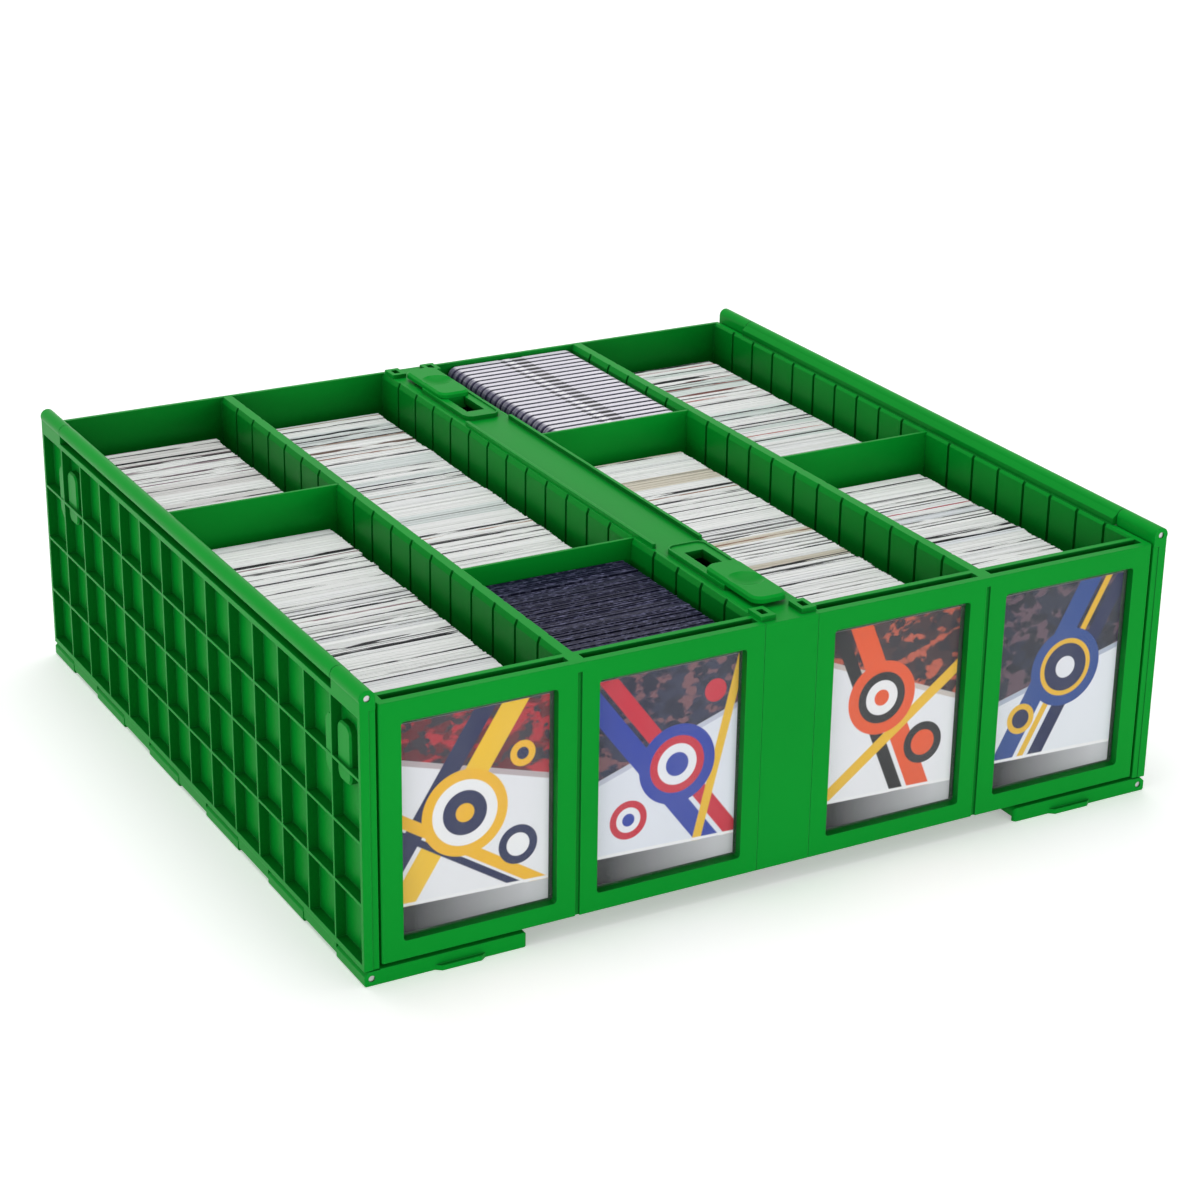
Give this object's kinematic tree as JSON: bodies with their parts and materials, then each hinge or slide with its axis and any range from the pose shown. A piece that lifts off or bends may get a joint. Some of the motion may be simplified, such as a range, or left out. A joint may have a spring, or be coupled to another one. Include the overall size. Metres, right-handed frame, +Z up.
{
  "type": "card storage box",
  "caption": "Open tray with long card rows, movable dividers, front display windows, sliding latches and two folding ribbed lids tucked round its sides and under it.",
  "frame": {"origin": "on the table, under the middle of the box's outline", "axes": "+X across the card rows to the right, +Y from the display windows to the rear, +Z up"},
  "size_m": [0.379, 0.3648, 0.1249],
  "materials": {
    "green_plastic": "satin",
    "steel_pin": "satin",
    "clear_plastic": "gloss",
    "clear_holder": "gloss",
    "printed_card": "gloss",
    "card_edges": "matt",
    "sleeved_cards": "satin"
  },
  "bodies": {
    "tray": {"left_tray": "green_plastic", "right_tray": "green_plastic", "centre_spine": "card_edges", "left_tray_pin": "steel_pin", "right_tray_pin": "steel_pin"},
    "left_outer": {"left_outer_lid": "green_plastic", "left_fold_pin": "steel_pin"},
    "left_inner": {"left_inner_lid": "green_plastic"},
    "right_outer": {"right_outer_lid": "green_plastic", "right_fold_pin": "steel_pin"},
    "right_inner": {"right_inner_lid": "green_plastic"},
    "front_latch": {"front_latch_slider": "green_plastic"},
    "rear_latch": {"rear_latch_slider": "green_plastic"},
    "divider_1": {"divider_row_1": "green_plastic"},
    "display_1": {"display_sleeve_1": "clear_plastic", "display_card_1": "printed_card"},
    "cards_1_front": {"cards_row_1_front": "card_edges"},
    "cards_1_rear": {"cards_row_1_rear": "card_edges"},
    "divider_2": {"divider_row_2": "green_plastic"},
    "display_2": {"display_sleeve_2": "clear_plastic", "display_card_2": "printed_card"},
    "cards_2_front": {"cards_row_2_front": "sleeved_cards"},
    "cards_2_rear": {"cards_row_2_rear": "card_edges"},
    "divider_3": {"divider_row_3": "green_plastic"},
    "display_3": {"display_sleeve_3": "clear_plastic", "display_card_3": "printed_card"},
    "cards_3_front": {"cards_row_3_front": "card_edges"},
    "holders_3_rear": {"holders_row_3_rear": "clear_holder"},
    "divider_4": {"divider_row_4": "green_plastic"},
    "display_4": {"display_sleeve_4": "clear_plastic", "display_card_4": "printed_card"},
    "cards_4_front": {"cards_row_4_front": "card_edges"},
    "cards_4_rear": {"cards_row_4_rear": "card_edges"}
  },
  "joints": [
    {"name": "left_outer_hinge", "type": "hinge", "parent": "tray", "child": "left_outer", "pos_m": [-0.18615, 0, 0.1215], "axis": [0, -1, 0], "range_deg": [-270, 0]},
    {"name": "left_fold_hinge", "type": "hinge", "parent": "left_outer", "child": "left_inner", "pos_m": [-0.18615, 0, 0.0031], "axis": [0, -1, 0], "range_deg": [-90, 0]},
    {"name": "right_outer_hinge", "type": "hinge", "parent": "tray", "child": "right_outer", "pos_m": [0.18615, 0, 0.1215], "axis": [0, 1, 0], "range_deg": [-270, 0]},
    {"name": "right_fold_hinge", "type": "hinge", "parent": "right_outer", "child": "right_inner", "pos_m": [0.18615, 0, 0.0031], "axis": [0, 1, 0], "range_deg": [-90, 0]},
    {"name": "front_latch_slide", "type": "slide", "parent": "tray", "child": "front_latch", "axis": [0, 1, 0], "range_m": [0, 0.021]},
    {"name": "rear_latch_slide", "type": "slide", "parent": "tray", "child": "rear_latch", "axis": [0, -1, 0], "range_m": [0, 0.021]},
    {"name": "divider_1_lift", "type": "slide", "parent": "tray", "child": "divider_1", "axis": [0, 0, 1], "range_m": [0, 0.11]},
    {"name": "display_1_lift", "type": "slide", "parent": "tray", "child": "display_1", "axis": [0, 0, 1], "range_m": [0, 0.105]},
    {"name": "cards_1_front_lift", "type": "slide", "parent": "tray", "child": "cards_1_front", "axis": [0, 0, 1], "range_m": [0, 0.11]},
    {"name": "cards_1_rear_lift", "type": "slide", "parent": "tray", "child": "cards_1_rear", "axis": [0, 0, 1], "range_m": [0, 0.11]},
    {"name": "divider_2_lift", "type": "slide", "parent": "tray", "child": "divider_2", "axis": [0, 0, 1], "range_m": [0, 0.11]},
    {"name": "display_2_lift", "type": "slide", "parent": "tray", "child": "display_2", "axis": [0, 0, 1], "range_m": [0, 0.105]},
    {"name": "cards_2_front_lift", "type": "slide", "parent": "tray", "child": "cards_2_front", "axis": [0, 0, 1], "range_m": [0, 0.11]},
    {"name": "cards_2_rear_lift", "type": "slide", "parent": "tray", "child": "cards_2_rear", "axis": [0, 0, 1], "range_m": [0, 0.11]},
    {"name": "divider_3_lift", "type": "slide", "parent": "tray", "child": "divider_3", "axis": [0, 0, 1], "range_m": [0, 0.11]},
    {"name": "display_3_lift", "type": "slide", "parent": "tray", "child": "display_3", "axis": [0, 0, 1], "range_m": [0, 0.105]},
    {"name": "cards_3_front_lift", "type": "slide", "parent": "tray", "child": "cards_3_front", "axis": [0, 0, 1], "range_m": [0, 0.11]},
    {"name": "holders_3_rear_lift", "type": "slide", "parent": "tray", "child": "holders_3_rear", "axis": [0, 0, 1], "range_m": [0, 0.11]},
    {"name": "divider_4_lift", "type": "slide", "parent": "tray", "child": "divider_4", "axis": [0, 0, 1], "range_m": [0, 0.11]},
    {"name": "display_4_lift", "type": "slide", "parent": "tray", "child": "display_4", "axis": [0, 0, 1], "range_m": [0, 0.105]},
    {"name": "cards_4_front_lift", "type": "slide", "parent": "tray", "child": "cards_4_front", "axis": [0, 0, 1], "range_m": [0, 0.11]},
    {"name": "cards_4_rear_lift", "type": "slide", "parent": "tray", "child": "cards_4_rear", "axis": [0, 0, 1], "range_m": [0, 0.11]}
  ]
}
